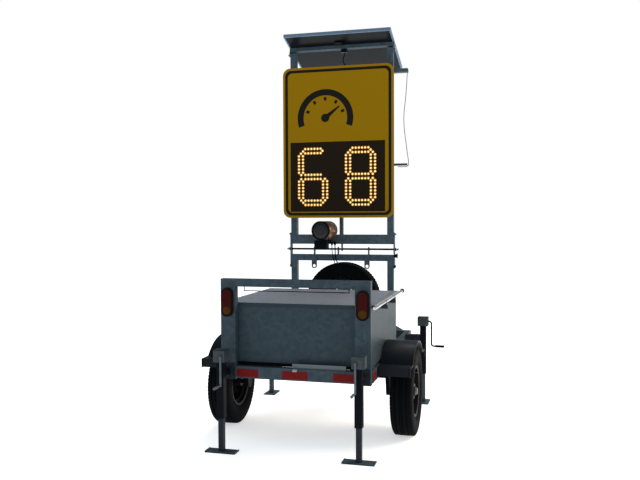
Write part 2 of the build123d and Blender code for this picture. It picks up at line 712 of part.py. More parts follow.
def solar_panel():
    """Framed panel: aluminium frame, then laminate, backing sheet and junction box."""
    x, y = (-PANEL_HALF_WIDTH, PANEL_HALF_WIDTH), (0, PANEL_LENGTH)
    frame = panel_block(x, y, (-PANEL_DEPTH, 0))
    frame -= panel_block(grow(x, -12), grow(y, -12), (-PANEL_DEPTH - 1, 1))
    laminate = panel_block(grow(x, -12), grow(y, -12), (-7, -2))
    backing = panel_block(grow(x, -12), grow(y, -12), (-PANEL_DEPTH + 1, -PANEL_DEPTH + 3))
    junction = panel_block((-36, 48), (118, 146), (-PANEL_DEPTH - 12, -PANEL_DEPTH + 1))
    return frame, [laminate, backing, junction]


def panel_mount():
    """Rail across the panel's underside and the two ears it tilts on."""
    rail = panel_block((-POST_OUT, POST_OUT), (178, 210), (-PANEL_DEPTH - 31, -PANEL_DEPTH))
    gland = block((4, 52), (1345, 1369), (2873, 2903))
    ear_x = (POST_OUT + 0.5, POST_OUT + 6.5)
    ears = []
    for side in (1, -1):
        ear = panel_block(ear_x, (185, 245), (-PANEL_DEPTH - 48, -PANEL_DEPTH))
        ear += rod_x(ear_x, MAST_HINGE_Y, PANEL_PIVOT_Z, 22)
        ear -= rod_x(grow(ear_x, 1), MAST_HINGE_Y, PANEL_PIVOT_Z, 6 + RUNNING)
        ears.append(ear if side > 0 else mirrored(ear))
    return [rail + gland] + ears


def solar_lead():
    """Lead from the gland on the panel rail down behind the sign to the top rail."""
    points = [(37, 1355, 2872), (34, 1354, 2857), (25, 1353, 2838), (19, 1350, 2818), (21, 1347, 2797)]
    points += [(33, 1344, 2777), (48, 1341, 2756), (57, 1338, 2734), (60, 1334, 2709)]
    return cord(points, 4)


# ---------------------------------------------------------------- jacks


def jack_tube(x, y, z_low, z_head):
    """Outer column with the gear head on top."""
    column_z = (z_low, z_head[0])
    half = JACK_OUTER / 2
    column = tube((x - half, x + half), (y - half, y + half), column_z, JACK_WALL, "Z")
    head = block((x - 42, x + 42), (y - 40, y + 40), z_head)
    return column + head


def jack_leg(x, y, foot, top):
    """Inner leg with its foot plate."""
    half = JACK_INNER / 2
    leg = tube((x - half, x + half), (y - half, y + half), (6, top), 3.5, "Z")
    return leg + block((x - foot[0] / 2, x + foot[0] / 2), (y - foot[1] / 2, y + foot[1] / 2), (0, 6))


def rear_jack():
    """Right rear jack: tube with its pivot boss, leg, and crank hanging behind it."""
    x, y = REAR_JACK_X, REAR_JACK_Y
    body = jack_tube(x, y, 222, (590, 670))
    boss = rod_y(x, (y + JACK_OUTER / 2, -25), PIVOT_Z, 27)
    bore = rod_y(x, (y + JACK_OUTER / 2 + 6, -24), PIVOT_Z, PIVOT_R + RUNNING)
    leg = jack_leg(x, y, (208, 85), 585 - JACK_TRAVEL)
    crank_x, crank_y = x - 14, y - 50
    body -= rod_y(crank_x, (y - 41, y - 20), REAR_CRANK_Z, 7 + RUNNING)
    crank = rod_y(crank_x, (crank_y - 9, y - 22), REAR_CRANK_Z, 7)
    crank += rod_z(crank_x, crank_y, (438, REAR_CRANK_Z + 11), 6.5)
    crank += rod_y(crank_x, (crank_y - 60, crank_y + 4), 447, 5.5)
    crank += rod_y(crank_x, (REAR_GRIP_END, crank_y - 50), 447, 9)
    return body + boss - bore, leg, crank


def front_jack():
    """Right front jack: tube, leg, and a side crank with a grip."""
    x, y = FRONT_JACK_X, FRONT_JACK_Y
    body = jack_tube(x, y, 240, (634, 706))
    leg = jack_leg(x, y, (100, 150), 628 - JACK_TRAVEL)
    body -= rod_x((x + 20, x + 44), y, 670, 7 + RUNNING)
    crank = rod_x((x + 22, 736), y, 670, 7) + rod_z(726, y, (458, 680), 6.5)
    crank += rod_x((721, 800), y, 467, 5.5) + rod_x((758, 830), y, 467, 12)
    return body, leg, crank


def jack_mounts():
    """Pivot spigots for the rear jacks and side arms for the front jacks."""
    x = REAR_JACK_X
    spigot = rod_y(x, (REAR_JACK_Y + JACK_OUTER / 2 + 8, -6), PIVOT_Z, PIVOT_R)
    plate = rod_y(x, (-24.6, -6), PIVOT_Z, 32) + block((410, 504), (-6, 0), (457, 560))
    near, far = FRONT_JACK_X - JACK_OUTER / 2, RAIL_OUT
    arm = block((far, near), (FRONT_JACK_Y - 25, FRONT_JACK_Y + 25), (505, 559))
    arm -= block((far - 1, near + 1), (FRONT_JACK_Y - 20, FRONT_JACK_Y + 20), (510, 554))
    return both(spigot + plate) + both(arm)


# ---------------------------------------------------------------- build


def build():
    """Make every node and write it."""
    os.makedirs("parts", exist_ok=True)
    save("chassis_rails", chassis_rails())
    save("cross_members", cross_members())
    save("goal_post", goal_post())
    save("tongue", tongue())
    save("coupler", coupler())
    save("coupler_latch", coupler_latch())
    for name, side in (("right", 1), ("left", -1)):
        rubber, metal = road_wheel(side)
        save(f"tyre_{name}", rubber)
        save(f"rim_{name}", metal)
    spare_rubber, spare_metal = spare_wheel()
    save("spare_tyre", spare_rubber)
    save("spare_rim", spare_metal)
    save("spare_carrier", spare_carrier())
    save("torsion_axles", both(torsion_axle()))
    save("fenders", both(fender()))
    save("box_shell", box_shell())
    save("lid_seal", lid_seal())
    save("box_lid", box_lid())
    save("lid_hinge_tube", lid_hinge_tube())
    save("lid_hinge_rod", lid_hinge_rod())
    save("batteries", batteries())
    save("controllers", controllers())
    save("tail_light_housings", lamp_parts("housing"))
    save("tail_light_lenses", lamp_parts("red"))
    save("turn_lenses", lamp_parts("amber"))
    save("plate_bracket", plate_bracket())
    save("licence_lamp", licence_lamp())
    save("reflectors", reflectors())
    save("light_harness", light_harness())
    save("lower_mast", lower_mast())
    save("mast_hinge_rod", mast_hinge_rod())
    save("mast_lock_bolts", mast_lock_bolts())
    save("mast_lock_knob", mast_lock_knob())
    save("upper_mast", upper_mast() + side_straps())
    save("sign_panel", sign_panel())
    save("display_case", display_case())
    save("display_window", display_window())
    save("led_boards", led_boards())
    save("sign_rails", sign_rails())
    save("arm_cable", arm_cable())
    save("radar_bracket", [radar_bracket()] + radar_connectors())
    save("radar_head", radar_head())
    save("radar_leads", radar_leads() + lead_glands())
    frame, laminate = solar_panel()
    save("solar_frame", frame)
    save("solar_laminate", laminate)
    save("panel_mount", panel_mount())
    save("solar_lead", solar_lead())
    for place, jack in (("rear", rear_jack), ("front", front_jack)):
        for piece, shape in zip(("tube", "leg", "crank"), jack()):
            save(f"jack_{place}_right_{piece}", shape)
            save(f"jack_{place}_left_{piece}", mirrored(shape))
    save("jack_mounts", jack_mounts())


build()
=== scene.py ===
import math

import bmesh
import bpy
from mathutils import Matrix, Vector


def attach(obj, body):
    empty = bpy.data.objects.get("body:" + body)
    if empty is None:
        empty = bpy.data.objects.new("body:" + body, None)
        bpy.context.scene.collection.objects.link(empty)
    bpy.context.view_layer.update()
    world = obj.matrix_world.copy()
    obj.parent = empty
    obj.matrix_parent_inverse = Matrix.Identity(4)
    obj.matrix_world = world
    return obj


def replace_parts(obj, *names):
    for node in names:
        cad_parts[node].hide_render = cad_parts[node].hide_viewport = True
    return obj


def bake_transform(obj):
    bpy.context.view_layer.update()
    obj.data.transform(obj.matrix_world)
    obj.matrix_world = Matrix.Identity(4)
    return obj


# Looks of the solar speed sign trailer. Positions below are in millimetres, with Y = 0 at the
# rear face of the trailer's frame; at() turns them into metres in the CAD's frame. Sizes that a
# helper takes directly, such as a radius or a profile, are in metres.
ORIGIN_Y = 1357
SIDES = (("right", 1), ("left", -1))

# Camera
CAMERA_PLACE = (1391, -4547, 1522)
CAMERA_YAW = 14.93
CAMERA_PITCH = -1.72
CAMERA_ROLL = -0.23
CAMERA_LENS = 41.31

# Sign
SIGN_FRONT = 1227
SIGN_HALF = 457.2
SIGN_LOW, SIGN_HIGH = 1523.4, 2742.6
SIGN_CORNER = 60
BORDER_INSET, BORDER_WIDTH = 19, 22
BORDER_CORNER_SHRINK = 0.55
PRINT_THICKNESS = 0.6
DISPLAY_FRONT = 1230.2

# Digits, each offset from the digit's centre
DIGIT_CENTRES = (-206, 188)
DIGIT_Z = 1856
LED_RADIUS = 6.6
LED_SQUEEZE = 0.45
RIM_RADIUS, RIM_HALF_DEPTH = 0.0113, 0.001
COLUMN_STEP, ROW_STEP = 25.8, 26.7

# Gauge symbol
GAUGE_CENTRE = (-101, 2330)
GAUGE_OUTER, GAUGE_STROKE = 232, 50
GAUGE_START, GAUGE_END, GAUGE_STEP = -18, 198, 6
MARK_ANGLES = (20, 55, 90, 125, 160)
MARK_NEAR, MARK_FAR, MARK_HALF_WIDTH = 140, 168, 11
NEEDLE_LENGTH, NEEDLE_ANGLE = 150, 38
NEEDLE_FOOT, NEEDLE_POINT = 19, 5
NEEDLE_HUB = 34

# Wheels
WHEEL_RADIUS = 308
TYRE_HALF_WIDTH = 79
BEAD_RADIUS = 165
TREAD_BLOCKS = 72
AXLE = (655, 565, 308)
SPARE = (-15, 1502, 840)

# Mudguards
FENDER_RADIUS, FENDER_HALF = 350, 375
FENDER_STEP, FENDER_LOW = 540, 481
FENDER_OUT = 735

# Solar panel: high edge as (y, z) and slope in degrees
PANEL_HIGH = (1190, 3012)
PANEL_TILT = 16.7

# Jacks: X and Y of each right-hand column
REAR_JACK = (457, -122)
FRONT_JACK = (658, 1486)

# Gear heads of the jacks: X, Y, lower and upper end, and the body each rides on
JACK_HEADS = {
    "rear": (*REAR_JACK, (590, 670), "rear_jack_SIDE"),
    "front": (*FRONT_JACK, (634, 706), "chassis"),
}
COVER_HALF_X, COVER_HALF_Y, COVER_LIP = 42.8, 40.8, 0.8

# Foot plates of the jacks: X, Y, width and length, then the heights of sheet and turned-up edge
FOOT_PLATES = {
    "rear": (*REAR_JACK, 208, 85),
    "front": (*FRONT_JACK, 100, 150),
}
SHEET_LOW, SHEET_HIGH = 5.8, 6.6
EDGE_LOW, EDGE_HIGH, EDGE_WIDTH = 5, 10, 3

# Front cranks: X where the shaft starts, of the arm and of the handle's end, heights of the shaft
# and the handle, radius of the bends
CRANK_START, CRANK_ARM, CRANK_END = 690, 726, 800
CRANK_TOP, CRANK_HANDLE = 670, 467
CRANK_BEND = 20
CRANK_RADIUS = 0.0075
GRIP_START, GRIP_END, GRIP_RADIUS = 757, 830, 0.0105

# Radar: middle of the shell and the turn it is set at, in degrees
RADAR_CENTRE = (-108.5, 1232, 1421)
RADAR_YAW = -8

# Mast: Y and Z of its hinge, then Z of the strap's pin and of the panel's pivot on the same Y
MAST_HINGE_Y, MAST_HINGE_Z = 1378, 1264
STRAP_PIN_Z, PANEL_PIVOT_Z = 1388, 2882

# Lid: X and Z of its hinge rod
LID_ROD = (530, 948)


def at(x, y, z):
    """A point given in millimetres, as metres in the CAD's frame."""
    return Vector((x / 1000, (y - ORIGIN_Y) / 1000, z / 1000))


# ---------------------------------------------------------------- materials


def new_material(name, colour, roughness, metallic=0.0, **inputs):
    """Plain principled material."""
    material = bpy.data.materials.new(name)
    material.use_nodes = True
    shader = material.node_tree.nodes["Principled BSDF"]
    shader.inputs["Base Color"].default_value = (*colour, 1)
    shader.inputs["Roughness"].default_value = roughness
    shader.inputs["Metallic"].default_value = metallic
    for key, value in inputs.items():
        shader.inputs[key.replace("_", " ")].default_value = value
    return material


def add_crystals(material, dark, light, scale):
    """Varies the base colour between two colours in crystal-shaped patches."""
    tree = material.node_tree
    coordinates = tree.nodes.new("ShaderNodeTexCoord")
    pattern = tree.nodes.new("ShaderNodeTexVoronoi")
    pattern.inputs["Scale"].default_value = scale
    value = tree.nodes.new("ShaderNodeSeparateColor")
    ramp = tree.nodes.new("ShaderNodeValToRGB")
    for element, colour in zip(ramp.color_ramp.elements, (dark, light)):
        element.color = (*colour, 1)
    tree.links.new(coordinates.outputs["Object"], pattern.inputs["Vector"])
    tree.links.new(pattern.outputs["Color"], value.inputs["Color"])
    tree.links.new(value.outputs[0], ramp.inputs["Fac"])
    tree.links.new(ramp.outputs["Color"], tree.nodes["Principled BSDF"].inputs["Base Color"])


def add_bump(material, scale, strength):
    """Fine unevenness in the surface."""
    tree = material.node_tree
    coordinates = tree.nodes.new("ShaderNodeTexCoord")
    noise = tree.nodes.new("ShaderNodeTexNoise")
    noise.inputs["Scale"].default_value = scale
    noise.inputs["Detail"].default_value = 3.0
    bump = tree.nodes.new("ShaderNodeBump")
    bump.inputs["Strength"].default_value = strength
    bump.inputs["Distance"].default_value = 0.001
    tree.links.new(coordinates.outputs["Object"], noise.inputs["Vector"])
    tree.links.new(noise.outputs[0], bump.inputs["Height"])
    tree.links.new(bump.outputs["Normal"], tree.nodes["Principled BSDF"].inputs["Normal"])


def galvanised(name, dark, light, roughness=0.48):
    """Dull zinc with faint crystal patches."""
    material = new_material(name, dark, roughness, 0.2, Specular_IOR_Level=0.08)
    add_crystals(material, dark, light, 38)
    add_bump(material, 60, 0.12)
    return material


def height_mask(tree, direction, level):
    """Factor of 1 where the point's distance along a direction is over the level, else 0."""
    coordinates = tree.nodes.new("ShaderNodeTexCoord")
    along = tree.nodes.new("ShaderNodeVectorMath")
    along.operation = "DOT_PRODUCT"
    along.inputs[1].default_value = direction
    over = tree.nodes.new("ShaderNodeMath")
    over.operation = "GREATER_THAN"
    over.inputs[1].default_value = level
    tree.links.new(coordinates.outputs["Object"], along.inputs[0])
    tree.links.new(along.outputs["Value"], over.inputs[0])
    return over.outputs[0]


def mix_colours(tree, factor, below, above):
    """Colour that is below where the factor is 0 and above where it is 1."""
    mix = tree.nodes.new("ShaderNodeMix")
    mix.data_type = "RGBA"
    tree.links.new(factor, mix.inputs["Factor"])
    for name, colour in (("A", below), ("B", above)):
        if isinstance(colour, tuple):
            mix.inputs[name].default_value = (*colour, 1)
        else:
            tree.links.new(colour, mix.inputs[name])
    return mix.outputs["Result"]


def solar_cells():
    """Dark cells in a grid with thin light lines, over a grey backing sheet and a black box."""
    material = new_material("solar cells", (0.01, 0.015, 0.04), 0.3, Specular_IOR_Level=0.04)
    tree = material.node_tree
    coordinates = tree.nodes.new("ShaderNodeTexCoord")
    brick = tree.nodes.new("ShaderNodeTexBrick")
    brick.offset = 0.0
    brick.squash = 1.0
    brick.inputs["Scale"].default_value = 1.0
    brick.inputs["Brick Width"].default_value = 0.138
    brick.inputs["Row Height"].default_value = 0.15
    brick.inputs["Mortar Size"].default_value = 0.0022
    brick.inputs["Color1"].default_value = (0.012, 0.02, 0.06, 1)
    brick.inputs["Color2"].default_value = (0.016, 0.026, 0.075, 1)
    brick.inputs["Mortar"].default_value = (0.3, 0.33, 0.38, 1)
    tree.links.new(coordinates.outputs["Object"], brick.inputs["Vector"])
    tilt = math.radians(PANEL_TILT)
    normal = (0, math.sin(tilt), math.cos(tilt))
    face = Vector(normal).dot(at(0, *PANEL_HIGH))
    over_box = height_mask(tree, normal, face - 0.0255)
    over_backing = height_mask(tree, normal, face - 0.008)
    backing = mix_colours(tree, over_box, (0.002, 0.002, 0.002), (0.0065, 0.008, 0.010))
    colour = mix_colours(tree, over_backing, backing, brick.outputs["Color"])
    tree.links.new(colour, tree.nodes["Principled BSDF"].inputs["Base Color"])
    return material


def lid_sheet_painted_top_light(edge_colour):
    """Zinc with a pale top face as painted light and the box's own grey on its turned-down edges."""
    material = galvanised("lid sheet with painted top light", (0.185, 0.205, 0.245), (0.235, 0.255, 0.300), 0.42)
    tree = material.node_tree
    base = tree.nodes["Principled BSDF"].inputs["Base Color"]
    pattern = base.links[0].from_socket
    # painted light: faces above the lid's top height get the pale colour, the rest keeps the box's grey
    top = height_mask(tree, (0, 0, 1), 0.9592)
    tree.links.new(mix_colours(tree, top, edge_colour, pattern), base)
    return material


def sign_sheeting():
    """Ochre sheeting on the sign's rear-facing side and bare aluminium on its back."""
    ochre = (0.232, 0.128, 0.0031)
    material = new_material("ochre sheeting", ochre, 0.6, Specular_IOR_Level=0.01)
    tree = material.node_tree
    face = height_mask(tree, (0, -1, 0), -at(0, SIGN_FRONT + 1, 0).y)
    colour = mix_colours(tree, face, (0.16, 0.17, 0.18), ochre)
    tree.links.new(colour, tree.nodes["Principled BSDF"].inputs["Base Color"])
    return material


def make_materials():
    """Every finish, by name."""
    dull = {"Specular_IOR_Level": 0.02}
    found = {
        "galvanised": galvanised("galvanised", (0.030, 0.046, 0.058), (0.044, 0.064, 0.078)),
        "mast": galvanised("mast zinc", (0.047, 0.071, 0.090), (0.069, 0.099, 0.122)),
        "cover": galvanised("zinc cover", (0.036, 0.046, 0.052), (0.050, 0.062, 0.070)),
        "crank": galvanised("crank zinc", (0.075, 0.095, 0.108), (0.100, 0.125, 0.140)),
        "leg": galvanised("dark zinc", (0.012, 0.016, 0.022), (0.019, 0.025, 0.032)),
        "sheet": galvanised("zinc sheet", (0.028, 0.044, 0.056), (0.038, 0.056, 0.068)),
        # the lid's pale top face is painted light
        "lid": lid_sheet_painted_top_light((0.024, 0.036, 0.046)),
        "bright": new_material("bright zinc", (0.55, 0.56, 0.57), 0.30, 0.85),
        "black": new_material("black paint", (0.0045, 0.006, 0.008), 0.42, **dull),
        "fender": new_material("fender plastic", (0.006, 0.009, 0.012), 0.34, Specular_IOR_Level=0.06),
        "plastic": new_material("black plastic", (0.005, 0.0055, 0.006), 0.5, **dull),
        "wheel": new_material("wheel paint", (0.012, 0.011, 0.012), 0.45, 0.2, **dull),
        "hub": new_material("hub metal", (0.10, 0.085, 0.075), 0.45, 0.6),
        "tyre": new_material("tyre rubber", (0.0035, 0.004, 0.0045), 0.7, **dull),
        "red": new_material("red lens", (0.038, 0.0022, 0.0018), 0.25, Specular_IOR_Level=0.05),
        "amber": new_material("amber lens", (0.050, 0.023, 0.0015), 0.3, Specular_IOR_Level=0.05),
        "reflector": new_material("reflector tape", (0.125, 0.006, 0.006), 0.35, Specular_IOR_Level=0.05),
        "seal": new_material("seal rubber", (0.004, 0.004, 0.004), 0.8, **dull),
        "battery": new_material("battery case", (0.05, 0.05, 0.055), 0.5),
        "ochre": sign_sheeting(),
        "print": new_material("black print", (0.010, 0.009, 0.007), 0.6, Specular_IOR_Level=0.05),
        "display": new_material("display face", (0.014, 0.0088, 0.0055), 0.5, Specular_IOR_Level=0.03),
        "board": new_material("circuit board", (0.01, 0.03, 0.018), 0.5),
        "lamp": new_material("lit lamp", (1.0, 0.80, 0.34), 0.4),
        "lamp rim": new_material("lamp rim", (0.50, 0.215, 0.022), 0.5),
        "bronze": new_material("radar shell", (0.24, 0.13, 0.065), 0.28, 0.7),
        "bezel": new_material("radar bezel", (0.0035, 0.0035, 0.004), 0.45, **dull),
        "radar lens": new_material("radar lens", (0.012, 0.012, 0.016), 0.25, Specular_IOR_Level=0.3),
        "cable": new_material("cable jacket", (0.004, 0.004, 0.0045), 0.5, **dull),
        "grey cable": new_material("grey cable jacket", (0.10, 0.12, 0.13), 0.5),
        "anodised": new_material("anodised frame", (0.135, 0.20, 0.285), 0.42, 0.3, Specular_IOR_Level=0.1),
        "cells": solar_cells(),
        "clear": new_material("lamp cover", (0.25, 0.26, 0.27), 0.2),
        "plate": new_material("plate bracket", (0.09, 0.11, 0.12), 0.45, 0.3),
        "floor": new_material("floor", (0.86, 0.86, 0.86), 0.9, Specular_IOR_Level=0.0),
    }
    for name, strength in (("lamp", 0.70), ("lamp rim", 0.55), ("floor", 0.62)):
        shader = found[name].node_tree.nodes["Principled BSDF"]
        shader.inputs["Emission Color"].default_value = shader.inputs["Base Color"].default_value
        shader.inputs["Emission Strength"].default_value = strength
    add_bump(found["fender"], 90, 0.1)
    add_bump(found["tyre"], 120, 0.15)
    return found


NODE_LOOKS = {
    "galvanised": ("chassis_rails", "cross_members", "goal_post", "tongue", "spare_carrier"),
    "mast": ("lower_mast", "upper_mast", "sign_rails", "panel_mount"),
    "sheet": ("box_shell", "display_case"),
    "lid": ("box_lid",),
    "plate": ("plate_bracket",),
    "bright": ("coupler", "coupler_latch", "lid_hinge_tube"),
    "black": ("mast_hinge_rod", "mast_lock_bolts", "radar_bracket", "torsion_axles"),
    "fender": ("fenders",),
    "plastic": ("tail_light_housings", "mast_lock_knob", "controllers", "lid_hinge_rod"),
    "wheel": ("rim_right", "rim_left", "spare_rim"),
    "red": ("tail_light_lenses",),
    "amber": ("turn_lenses",),
    "reflector": ("reflectors",),
    "clear": ("licence_lamp",),
    "seal": ("lid_seal",),
    "battery": ("batteries",),
    "ochre": ("sign_panel",),
    "display": ("display_window",),
    "board": ("led_boards",),
    "cable": ("light_harness",),
    "anodised": ("solar_frame",),
    "leg": ("jack_mounts",),
    "cells": ("solar_laminate",),
}


def paint_nodes(frame):
    """Gives every kept CAD node its finish."""
    looks = {node: look for look, nodes in NODE_LOOKS.items() for node in nodes}
    for place in ("rear", "front"):
        for side in ("right", "left"):
            looks[f"jack_{place}_{side}_tube"] = "black"
            looks[f"jack_{place}_{side}_leg"] = "leg" if place == "rear" else "galvanised"
            if place == "rear":
                looks[f"jack_{place}_{side}_crank"] = "crank"
    for node, look in looks.items():
        thing = frame["nodes"][node]
        thing.data.materials.clear()
        thing.data.materials.append(MATERIALS[look])


# ---------------------------------------------------------------- shape helpers


def finish_mesh(name, mesh, look, body):
    """Object from a bmesh or mesh, painted and riding on a body."""
    if isinstance(mesh, bmesh.types.BMesh):
        data = bpy.data.meshes.new(name)
        mesh.to_mesh(data)
        mesh.free()
        mesh = data
    thing = bpy.data.objects.new(name, mesh)
    bpy.context.collection.objects.link(thing)
    mesh.materials.append(MATERIALS[look])
    if body:
        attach(thing, body)
    return thing


def add_cylinder(mesh, start, end, radius, radius_end=None, segments=32):
    """Adds a closed cylinder or cone between two points in metres to a bmesh."""
    run = end - start
    turn = run.to_track_quat("Z", "Y").to_matrix().to_4x4()
    place = Matrix.Translation((start + end) / 2) @ turn
    far = radius if radius_end is None else radius_end
    bmesh.ops.create_cone(mesh, cap_ends=True, segments=segments, radius1=radius, radius2=far,
                          depth=run.length, matrix=place)


def add_block(mesh, low, high):
    """Adds a box between two corners in metres to a bmesh."""
    size = high - low
    place = Matrix.Translation((low + high) / 2) @ Matrix.Diagonal((*size, 1))
    bmesh.ops.create_cube(mesh, size=1, matrix=place)


def add_soft_block(mesh, low, high, edge):
    """Adds a box with rounded edges to an empty bmesh."""
    add_block(mesh, low, high)
    bmesh.ops.bevel(mesh, geom=mesh.edges[:], offset=edge, segments=2, affect="EDGES")


def add_hex(mesh, centre, axis, width, height):
    """Adds a hexagonal nut or bolt head standing on centre along axis."""
    add_cylinder(mesh, centre, centre + axis * height, width / 2, segments=6)


def smooth(thing, angle=35):
    """Smooth shading with sharp edges kept."""
    thing.data.shade_smooth()
    thing.data.set_sharp_from_angle(angle=math.radians(angle))
    return thing


def lathe(name, profile, origin, axis, look, body, segments=96, closed=True):
    """Solid of revolution. Profile points are (along, radius) in metres."""
    mesh = bmesh.new()
    turn = Vector(axis).to_track_quat("Z", "Y")
    rings = []
    for step in range(segments):
        angle = 2 * math.pi * step / segments
        ring = []
        for along, radius in profile:
            local = Vector((radius * math.cos(angle), radius * math.sin(angle), along))
            ring.append(mesh.verts.new(Vector(origin) + turn @ local))
        rings.append(ring)
    count = len(profile)
    for step in range(segments):
        here, there = rings[step], rings[(step + 1) % segments]
        for index in range(count if closed else count - 1):
            after = (index + 1) % count
            mesh.faces.new((here[index], here[after], there[after], there[index]))
    bmesh.ops.recalc_face_normals(mesh, faces=mesh.faces)
    return smooth(finish_mesh(name, mesh, look, body), 30)


# ---------------------------------------------------------------- camera, light and floor


def make_camera():
    """Camera of the reference view."""
    yaw, pitch, roll = (math.radians(a) for a in (CAMERA_YAW, CAMERA_PITCH, CAMERA_ROLL))
    forward = Vector((-math.sin(yaw) * math.cos(pitch), math.cos(yaw) * math.cos(pitch), math.sin(pitch)))
    level = Vector((math.cos(yaw), math.sin(yaw), 0))
    upright = level.cross(forward)
    right = level * math.cos(roll) + upright * math.sin(roll)
    up = upright * math.cos(roll) - level * math.sin(roll)
    data = bpy.data.cameras.new("camera")
    data.lens = CAMERA_LENS
    data.sensor_width = 36
    data.clip_end = 200
    camera = bpy.data.objects.new("camera", data)
    bpy.context.collection.objects.link(camera)
    turn = Matrix((right, up, -forward)).transposed().to_4x4()
    camera.matrix_world = Matrix.Translation(at(*CAMERA_PLACE)) @ turn
    bpy.context.scene.camera = camera


def area_light(name, place, target, size, power, colour):
    """Square soft light aimed at a point."""
    data = bpy.data.lights.new(name, "AREA")
    data.size = size
    data.energy = power
    data.color = colour
    light = bpy.data.objects.new(name, data)
    bpy.context.collection.objects.link(light)
    light.location = place
    light.rotation_euler = (Vector(target) - Vector(place)).to_track_quat("-Z", "Y").to_euler()


def world_light(tree, colour, strength):
    """Even light from all round, as a shader output of the world."""
    background = tree.nodes.new("ShaderNodeBackground")
    background.inputs["Color"].default_value = (*colour, 1)
    background.inputs["Strength"].default_value = strength
    return background.outputs[0]


def make_stage():
    """White surroundings, pale floor and soft lights."""
    bpy.context.scene.view_settings.view_transform = "Standard"
    world = bpy.data.worlds.new("world")
    bpy.context.scene.world = world
    world.use_nodes = True
    tree = world.node_tree
    path = tree.nodes.new("ShaderNodeLightPath")
    result = world_light(tree, (0.88, 0.95, 1.0), 0.80)
    seen = (((0.75, 0.88, 1.0), 0.22, "Is Glossy Ray"), ((1.0, 1.0, 1.0), 1.0, "Is Camera Ray"))
    for colour, strength, ray in seen:
        mix = tree.nodes.new("ShaderNodeMixShader")
        tree.links.new(path.outputs[ray], mix.inputs["Fac"])
        tree.links.new(result, mix.inputs[1])
        tree.links.new(world_light(tree, colour, strength), mix.inputs[2])
        result = mix.outputs[0]
    tree.links.new(result, tree.nodes["World Output"].inputs["Surface"])
    area_light("side light", (7.0, 2.5, 4.2), (0, -0.2, 0.8), 4.0, 560, (1.0, 0.84, 0.64))
    area_light("top light", (0.5, 3.5, 7.5), (0, 0, 0.8), 5.0, 300, (1.0, 0.95, 0.95))
    mesh = bmesh.new()
    bmesh.ops.create_grid(mesh, x_segments=1, y_segments=1, size=60)
    floor = finish_mesh("floor", mesh, "floor", None)
    floor.location.z = -0.001


# ---------------------------------------------------------------- cables


ARM_CABLE = [(551, 1326, 2679), (547, 1326, 2600), (537, 1328, 2470), (521, 1332, 2350), (523, 1336, 2240),
             (536, 1340, 2140), (548, 1343, 2040), (558.6, 1346.5, 1972), (558, 1346.5, 1935),
             (521, 1346.5, 1930), (471, 1346.5, 1931.5)]
THIN_LEAD = [(-78, 1343, 1295), (-78, 1345, 1262), (-74, 1341, 1222), (-62, 1340, 1176), (-46, 1336, 1130),
             (-36, 1318, 1072), (-30, 1270, 1010), (-30, 1200, 960), (-30, 1120, 914), (-30, 1053, 891)]
THICK_LEAD = [(-52, 1343, 1295), (-51, 1345, 1262), (-49, 1340, 1222), (-42, 1339, 1176), (-20, 1334, 1132),
              (0, 1314, 1076), (10, 1266, 1014), (12, 1196, 962), (12, 1120, 912), (12, 1053, 889)]
SOLAR_LEAD = [(37, 1355, 2872), (34, 1354, 2857), (25, 1353, 2838), (19, 1350, 2818), (21, 1347, 2797),
              (33, 1344, 2777), (48, 1341, 2756), (57, 1338, 2734), (60, 1334, 2709)]


def tube_curve(name, kind, places, radius):
    """Capped round tube along one spline of the kind through places in metres."""
    curve = bpy.data.curves.new(name, "CURVE")
    curve.dimensions = "3D"
    curve.bevel_depth = radius
    curve.bevel_resolution = 4
    curve.use_fill_caps = True
    spline = curve.splines.new(kind)
    spline.points.add(len(places) - 1)
    for point, place in zip(spline.points, places):
        point.co = (*place, 1)
    thing = bpy.data.objects.new(name, curve)
    bpy.context.collection.objects.link(thing)
    return thing


def route_curve(name, points, radius):
    """Smooth open tube with the route's points as its control points."""
    thing = tube_curve(name, "NURBS", [at(*point) for point in points], radius)
    thing.data.resolution_u = 12
    spline = thing.data.splines[0]
    spline.order_u = 3
    spline.use_endpoint_u = True
    return thing


def mesh_of(thing):
    """Mesh of a curve object as it stands."""
    bpy.context.view_layer.update()
    return bpy.data.meshes.new_from_object(thing.evaluated_get(bpy.context.evaluated_depsgraph_get()))


def take_mesh(guide):
    """Unpainted mesh of a guide curve, which is then removed."""
    mesh = mesh_of(guide)
    bpy.data.objects.remove(guide)
    mesh.materials.clear()
    return mesh


def line_of(thing):
    """Points along the curve's centreline."""
    depth = thing.data.bevel_depth
    thing.data.bevel_depth = 0
    points = [tuple(vertex.co) for vertex in mesh_of(thing).vertices]
    thing.data.bevel_depth = depth
    return points


def cable_mesh(name, points, radius, look, body=None):
    """Mesh tube along a route, and the points of its centreline."""
    guide = route_curve(name + "_route", points, radius / 1000)
    path = line_of(guide)
    return smooth(finish_mesh(name, take_mesh(guide), look, body)), path


def bending_cable(name, points, radius):
    """Black cable along a route across a joint, baked in place as one mesh on no body."""
    thing, path = cable_mesh(name, points, radius, "cable")
    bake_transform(thing)
    return thing


def make_cables():
    """The visible cable runs."""
    arm, path = cable_mesh("arm_cable_run", ARM_CABLE, 3, "grey cable", "mast")
    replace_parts(arm, "arm_cable")
    for name, points, radius in (("radar_lead_thin", THIN_LEAD, 3.5), ("radar_lead_thick", THICK_LEAD, 4.5)):
        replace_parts(bending_cable(name, points, radius), "radar_leads")
    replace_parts(bending_cable("solar_lead_run", SOLAR_LEAD, 4), "solar_lead")


# ---------------------------------------------------------------- wheels


